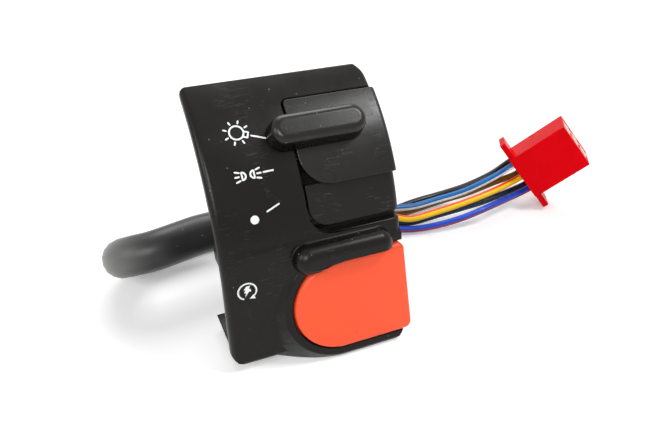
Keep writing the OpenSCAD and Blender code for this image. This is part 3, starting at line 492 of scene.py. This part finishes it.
LOWER_SIDE = (-0.05, -0.87, -0.49)
UPPER_SIDE = (0, 0.1, 0.99)
STRIPE_BLUR = 0.03
wire_looks = {
    "black": ("wire_black", (0.016, 0.018, 0.02), None, None, 1),
    "blue_white": ("wire_blue", (0.002, 0.13, 0.42), (0.95, 0.95, 0.95, 1), LOWER_SIDE, 0.72),
    "brown": ("wire_brown", (0.2, 0.085, 0.014), None, None, 1),
    "yellow_red": ("wire_yellow", (0.95, 0.58, 0.004), (0.85, 0.07, 0.006, 1), UPPER_SIDE, 0.82),
    "navy": ("wire_navy", (0.016, 0.026, 0.06), None, None, 1),
    "blue_red": ("wire_blue", (0.008, 0.06, 0.5), (0.26, 0.02, 0.05, 1), LOWER_SIDE, 0.74),
}
for colour, (slot, cover, stripe, side, edge) in wire_looks.items():
    vinyl = moulded_finish("vinyl_" + colour, cover, 0.3, cloud=0.35, specks=0.15, scratches=0.15, bump=0.12,
                           gloss=0.3)
    if stripe:
        tree = vinyl.node_tree
        facing = add_node(tree, "VectorMath")
        facing.operation = "DOT_PRODUCT"
        tree.links.new(add_node(tree, "TexCoord").outputs["Normal"], facing.inputs[0])
        facing.inputs[1].default_value = side
        ink = add_node(tree, "MapRange", From_Min=edge - STRIPE_BLUR, From_Max=edge + STRIPE_BLUR)
        tree.links.new(facing.outputs["Value"], ink.inputs["Value"])
        tree.links.new(add_mix(tree, ink.outputs[0], (*cover, 1), stripe), tree.nodes["skin"].inputs["Colour"])
    wires[colour].data.materials.append(vinyl)

# Housing front: one shell injection-moulded in black nylon, with the guard rib and the button's
# collar in one piece with it. Its edges are eased as the mould leaves them, and the face is dusty.
shell = eased_copy("shell_moulding", "front_shell", 0.0003)
shell_black = moulded_finish("shell_black", (0.0048, 0.0039, 0.0032), 0.29, specks=0.55, scratches=0.7,
                             gloss=0.2)
shell.data.materials.append(shell_black)
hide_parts("front_shell")
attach(shell, "housing")

# Signs: four pictograms pad-printed in white on the face, three with a line that points at a
# place of the finger bar. The ink film is drawn flat, in millimetres, and then laid on the curve.
FACE_R = 0.044
FACE_AXIS_Y = 0.0195
FACE_AXIS_Z = -0.009
INK_LIFT = 0.00003
INK_LINE = 0.00037
white_ink = moulded_finish("white_ink", (0.86, 0.9, 0.9), 0.5, cloud=0.12, scratches=0.5, bump=0.1,
                           dust=(0.25, 0.25, 0.25, 1))


def ink_line(bm, start, end):
    a, b = Vector(start) / 1000, Vector(end) / 1000
    made = bmesh.ops.create_grid(bm, x_segments=8, y_segments=1, size=0.5)["verts"]
    bmesh.ops.scale(bm, verts=made, vec=((b - a).length, INK_LINE, 1))
    turn = Matrix.Rotation(math.atan2(b.y - a.y, b.x - a.x), 3, "Z")
    bmesh.ops.rotate(bm, verts=made, cent=(0, 0, 0), matrix=turn)
    bmesh.ops.translate(bm, verts=made, vec=(*((a + b) / 2), 0))
    for end_spot in (a, b):
        tip = bmesh.ops.create_circle(bm, cap_ends=True, radius=INK_LINE / 2, segments=10)["verts"]
        bmesh.ops.translate(bm, verts=tip, vec=(*end_spot, 0))


def ink_arc(bm, centre, radius, start, sweep):
    spot = Vector((*centre, 0)) / 1000
    ends = [bm.verts.new(spot + Vector((radius / 1000 + side * INK_LINE / 2, 0, 0))) for side in (-1, 1)]
    edge = bm.edges.new(ends)
    bmesh.ops.rotate(bm, verts=ends, cent=spot, matrix=Matrix.Rotation(math.radians(start), 3, "Z"))
    bmesh.ops.spin(bm, geom=ends + [edge], cent=spot, axis=(0, 0, 1), angle=math.radians(sweep),
                   steps=max(8, int(abs(sweep) / 7)), use_merge=abs(sweep) == 360)


def ink_shape(bm, outline):
    bmesh.ops.contextual_create(bm, geom=[bm.verts.new((x / 1000, y / 1000, 0)) for x, y in outline])


def lay_on_face(name, bm, x, angle, turn):
    bmesh.ops.rotate(bm, verts=bm.verts, cent=(0, 0, 0), matrix=Matrix.Rotation(math.radians(turn), 3, "Z"))
    bmesh.ops.remove_doubles(bm, verts=bm.verts, dist=1e-7)
    radius = FACE_R + INK_LIFT
    for vert in bm.verts:
        up = FACE_R * math.radians(angle) + vert.co.y
        if up > 0:
            t = up / FACE_R
            vert.co = (x + vert.co.x, FACE_AXIS_Y - radius * math.cos(t), FACE_AXIS_Z + radius * math.sin(t))
        else:
            vert.co = (x + vert.co.x, FACE_AXIS_Y - radius, FACE_AXIS_Z + up)
    bmesh.ops.triangulate(bm, faces=bm.faces)
    for face in bm.faces:
        face.normal_update()
        if face.normal.y > 0:
            face.normal_flip()
    sign = linked(name, made_mesh(name, bm))
    sign.data.materials.append(white_ink)
    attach(sign, "housing")


bm = bmesh.new()
ink_arc(bm, (0, 0), 1.5, 0, 360)
for step in range(1, 8):
    ray = Vector((math.cos(math.radians(45 * step)), math.sin(math.radians(45 * step))))
    ink_line(bm, ray * 2.15, ray * 2.7)
for start, end in (((1.55, 0.6), (2.4, 0.6)), ((2.4, 0.6), (2.4, -0.6)), ((2.4, -0.6), (1.55, -0.6))):
    ink_line(bm, start, end)
ink_line(bm, (3.1, 0), (6.1, 0))
lay_on_face("sign_headlight", bm, -0.01205, 46.7, -21)

bm = bmesh.new()
for side in (-1, 1):
    ink_line(bm, (side * 1.3, -0.72), (side * 1.3, 0.72))
    ink_arc(bm, (side * 1.3, 0.0), 0.8, 90 if side > 0 else -90, 180)
    for start, end in (((1.78, 0.84), (2.6, 1.08)), ((1.95, 0), (2.72, 0)), ((1.78, -0.84), (2.6, -1.08))):
        ink_line(bm, (side * start[0], start[1]), (side * end[0], end[1]))
ink_line(bm, (3.35, 0), (5.4, 0))
lay_on_face("sign_parking_lamps", bm, -0.01183, 34.7, 1)

bm = bmesh.new()
bmesh.ops.create_circle(bm, cap_ends=True, radius=0.00092, segments=40)
ink_line(bm, (3.15, 0), (6.1, 0))
lay_on_face("sign_off", bm, -0.01231, 22.6, 22)

bm = bmesh.new()
ink_arc(bm, (0, 0), 2.02, -44, 290)
ink_shape(bm, ((1.28, -1.05), (1.72, -2.3), (0.36, -2.0)))
ink_shape(bm, ((0.75, 1.35), (-0.15, 1.35), (-0.75, 0.55), (-0.4, 0.4), (-0.74, -0.2), (-0.3, -0.4),
               (-0.62, -1.45), (0.85, -0.2), (0.42, -0.06), (0.76, 0.5), (0.4, 0.64)))
lay_on_face("sign_start", bm, -0.01607, 2.2, 0)

# Brass inserts: two turned brass bushes pressed hot into the bosses, for the screws of the rear half.
# They have the same brass as the connector's blades.
dress_nodes(brass, "brass_inserts")

# Slide bed: the black moulded floor under the slider, screwed behind the window by two small steel screws.
# The slider has polished fine tracks into it.
bed = eased_copy("bed_moulding", "slide_bed", 0.0002)
bed_black = moulded_finish("bed_black", (0.0065, 0.0055, 0.005), 0.34, cloud=0.4, specks=0.4, scratches=1.0,
                           gloss=0.25)
bed.data.materials.append(bed_black)
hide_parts("slide_bed")
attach(bed, "housing")
zinc_steel = metal_finish("zinc_steel", (0.62, 0.62, 0.64), (0.28, 0.27, 0.26), 0.5, 0.34)
dress_nodes(zinc_steel, "bed_screws")

# Contact board: dark laminated board behind the bed with four brass contacts riveted on, and two screws.
# The headlight and parking circuits close across the contacts.
board_laminate = moulded_finish("board_laminate", (0.02, 0.016, 0.014), 0.55, cloud=0.9, specks=0.2,
                                scratches=0.2)
dress_nodes(board_laminate, "contact_board")
dress_nodes(zinc_steel, "board_screws")
dress_nodes(brass, "fixed_contacts")

# Detent: a steel ball on a small coil spring in the bed's right cheek.
# It drops into three hollows of the carrier, which gives the slider its three places.
spring_steel = metal_finish("spring_steel", (0.5, 0.5, 0.52), (0.2, 0.19, 0.18), 0.35, 0.25)
dress_nodes(spring_steel, "detent_spring", "detent_ball")

# Light slider: black moulded cover that slides on the bed, with a finger bar worn a little grey.
# Its leg goes through the slot and is screwed to the white nylon carrier with the sprung brass bridge.
slider = eased_copy("slider_moulding", "light_slider", 0.00016)
slider_black = moulded_finish("slider_black", (0.006, 0.0052, 0.0044), 0.28, specks=0.5, scratches=0.5,
                              gloss=0.32)
slider.data.materials.append(slider_black)
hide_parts("light_slider")
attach(slider, "slider")
natural_nylon = moulded_finish("natural_nylon", (0.68, 0.66, 0.58), 0.42, cloud=0.2, specks=0.2, scratches=0.2,
                               dust=(0.2, 0.19, 0.17, 1))
dress_nodes(natural_nylon, "contact_carrier")
dress_nodes(brass, "contact_bridge")
dress_nodes(spring_steel, "bridge_spring")
dress_nodes(zinc_steel, "carrier_screw")

# Start button: orange cap, round on the left and square on the right, moulded through in its colour.
# It slides in the collar on a white nylon plunger, carries a brass bridging ring and rests on a coil spring.
PRESS = Vector((0, 0.986286, -0.165048))
CAP_UP = Vector((0, 0.165048, 0.986286))
CAP_SIDE_LEAN = 4.15
LOW_CORNER_R = 0.0022
HIGH_CORNER_R = 0.0015
CORNER_STEPS = 6
low_corner = (0.0226 - 1.0752 * LOW_CORNER_R, -0.031457 + LOW_CORNER_R)
high_corner = (0.0209 - 0.93 * HIGH_CORNER_R, -0.008056 - HIGH_CORNER_R)
cap_cuts = []
for (middle_x, middle_up), radius, first, last in ((low_corner, LOW_CORNER_R, -90, CAP_SIDE_LEAN),
                                                   (high_corner, HIGH_CORNER_R, CAP_SIDE_LEAN, 90)):
    for step in range(1, CORNER_STEPS):
        turn = math.radians(first + (last - first) * step / CORNER_STEPS)
        outward = Vector((math.cos(turn), 0, 0)) + CAP_UP * math.sin(turn)
        cap_cuts.append((Vector((middle_x, 0, 0)) + CAP_UP * middle_up + outward * radius, outward))
button = eased_copy("button_cap", "start_button", 0.0005, segments=3, cuts=cap_cuts)
cap_orange = moulded_finish("cap_orange", (1, 0.1, 0.03), 0.34, cloud=0.08, specks=0.25, scratches=0.1, bump=0.1,
                            dust=(1, 0.42, 0.28, 1), gloss=0.3)
button.data.materials.append(cap_orange)
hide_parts("start_button")
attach(button, "button")
dress_nodes(natural_nylon, "button_plunger")
dress_nodes(brass, "start_bridge")

bm = bmesh.new()
bm.from_mesh(nodes["return_spring"].data)
bmesh.ops.remove_doubles(bm, verts=bm.verts, dist=2e-6)
depths = [vert.co.dot(PRESS) for vert in bm.verts]
seat = sum((vert.co for vert in bm.verts), Vector()) / len(bm.verts)
seat += PRESS * (max(depths) - seat.dot(PRESS))
coil = linked("return_spring_coil", made_mesh("return_spring_coil", bm))
coil.data.materials.clear()
coil.data.materials.append(spring_steel)
coil.data.shade_smooth()
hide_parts("return_spring")
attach(coil, "housing")
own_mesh(coil)

# Start base: black moulded plate with the plunger's guide, held behind the button by two screws.
# Two brass rivets in it are the start circuit's fixed contacts.
inner_black = moulded_finish("inner_black", (0.02, 0.02, 0.02), 0.5, cloud=0.4, specks=0.2, scratches=0.2)
dress_nodes(inner_black, "start_base")
dress_nodes(zinc_steel, "base_screws")
dress_nodes(brass, "start_contacts")

# Leads inside the housing: four red ones from the light contacts into a rubber boot and a taped bundle,
# and two yellow ones from the start contacts. All of them go into the sleeve's mouth.
lead_red = moulded_finish("lead_red", (0.45, 0.015, 0.012), 0.4, cloud=0.3, specks=0.2, scratches=0.2)
boot_rubber = moulded_finish("boot_rubber", (0.02, 0.02, 0.02), 0.65, specks=0.5, scratches=0.1, bump=0.4)
loom_tape = moulded_finish("loom_tape", (0.018, 0.018, 0.019), 0.45, cloud=0.7, specks=0.3, scratches=0.4,
                           bump=0.4)
lead_yellow = moulded_finish("lead_yellow", (0.8, 0.5, 0.02), 0.4, cloud=0.3, specks=0.2, scratches=0.2)
dress_nodes(lead_red, "light_leads")
dress_nodes(boot_rubber, "lead_boot")
dress_nodes(loom_tape, "light_bundle")
dress_nodes(lead_yellow, "start_leads")

# Loom clip: a black moulded ring round the sleeve's mouth with a foot, which one steel screw
# holds to the housing's bottom wall.
dress_nodes(inner_black, "loom_clip")
dress_nodes(zinc_steel, "clip_screw")
